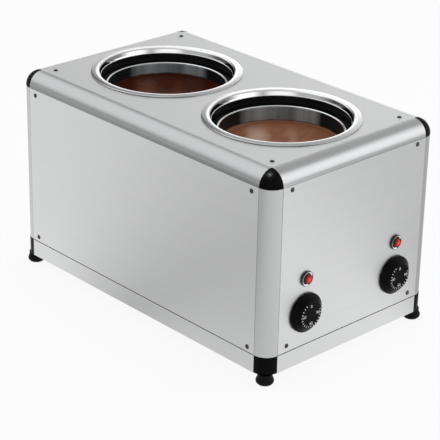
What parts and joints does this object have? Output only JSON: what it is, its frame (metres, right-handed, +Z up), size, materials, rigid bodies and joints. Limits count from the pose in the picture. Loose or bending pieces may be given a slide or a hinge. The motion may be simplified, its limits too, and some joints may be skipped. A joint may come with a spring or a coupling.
{
  "type": "chocolate melting machine",
  "caption": "Counter-top chocolate melter: steel casing with rounded aluminium edges, black corners and feet, round lift-out pots in collared wells, dial knobs and red lamps.",
  "frame": {"origin": "middle of the footprint at the level of the feet's soles, which is the bottom centre of the bounding box", "axes": "+Z up, +Y along the long side from the knobs at the front to the cord gland at the rear, +X to the right as seen from the front"},
  "size_m": [0.31, 0.5322, 0.3],
  "materials": {
    "casing": "fine satin brushing",
    "edge_profile": "satin anodised",
    "black_corner": "moulded, gloss",
    "rubber_foot": "matt",
    "collar": "polished stainless steel",
    "well": "black enamel",
    "pot": "polished outside, stained inside",
    "milk_chocolate": "liquid gloss",
    "dark_chocolate": "liquid gloss",
    "knob": "moulded, satin, white dial marks",
    "lamp_bezel": "bright",
    "lamp_lens": "faceted, clear red",
    "plated_steel": "zinc plated",
    "thermostat": "moulded",
    "inner_plastic": "moulded",
    "copper": "drawn copper",
    "gland": "moulded"
  },
  "bodies": {
    "cabinet": {"post_rear_right": "edge_profile", "top_corner_rear_right": "black_corner", "foot_plug_rear_right": "black_corner", "rubber_foot_rear_right": "rubber_foot", "post_rear_left": "edge_profile", "top_corner_rear_left": "black_corner", "foot_plug_rear_left": "black_corner", "rubber_foot_rear_left": "rubber_foot", "post_front_left": "edge_profile", "top_corner_front_left": "black_corner", "foot_plug_front_left": "black_corner", "rubber_foot_front_left": "rubber_foot", "post_front_right": "edge_profile", "top_corner_front_right": "black_corner", "foot_plug_front_right": "black_corner", "rubber_foot_front_right": "rubber_foot", "top_rail_right": "edge_profile", "top_rail_left": "edge_profile", "top_rail_rear": "edge_profile", "top_rail_front": "edge_profile", "front_panel": "casing", "rear_panel": "casing", "right_panel": "casing", "left_panel": "casing", "top_panel": "casing", "base_tray": "casing", "collar_front": "collar", "well_front": "well", "well_retainer_front": "plated_steel", "band_heater_front": "plated_steel", "collar_rear": "collar", "well_rear": "well", "well_retainer_rear": "plated_steel", "band_heater_rear": "plated_steel", "thermostat_left": "thermostat", "capillary_left": "copper", "lamp_bezel_left": "lamp_bezel", "lamp_lens_left": "lamp_lens", "lamp_body_left": "inner_plastic", "thermostat_right": "thermostat", "capillary_right": "copper", "lamp_bezel_right": "lamp_bezel", "lamp_lens_right": "lamp_lens", "lamp_body_right": "inner_plastic", "cord_gland": "gland", "gland_locknut": "gland", "terminal_block": "inner_plastic"},
    "pot_front": {"pot_front": "pot", "chocolate_front": "milk_chocolate"},
    "pot_rear": {"pot_rear": "pot", "chocolate_rear": "dark_chocolate"},
    "knob_left": {"knob_left": "knob", "thermostat_shaft_left": "plated_steel"},
    "knob_right": {"knob_right": "knob", "thermostat_shaft_right": "plated_steel"}
  },
  "joints": [
    {"name": "lift_pot_front", "type": "slide", "parent": "cabinet", "child": "pot_front", "axis": [0, 0, 1], "range_m": [0, 0.18]},
    {"name": "lift_pot_rear", "type": "slide", "parent": "cabinet", "child": "pot_rear", "axis": [0, 0, 1], "range_m": [0, 0.18]},
    {"name": "turn_knob_left", "type": "hinge", "parent": "cabinet", "child": "knob_left", "pos_m": [-0.085, -0.2546, 0.089], "axis": [0, 1, 0], "range_deg": [0, 270]},
    {"name": "turn_knob_right", "type": "hinge", "parent": "cabinet", "child": "knob_right", "pos_m": [0.085, -0.2546, 0.089], "axis": [0, 1, 0], "range_deg": [0, 270]}
  ]
}
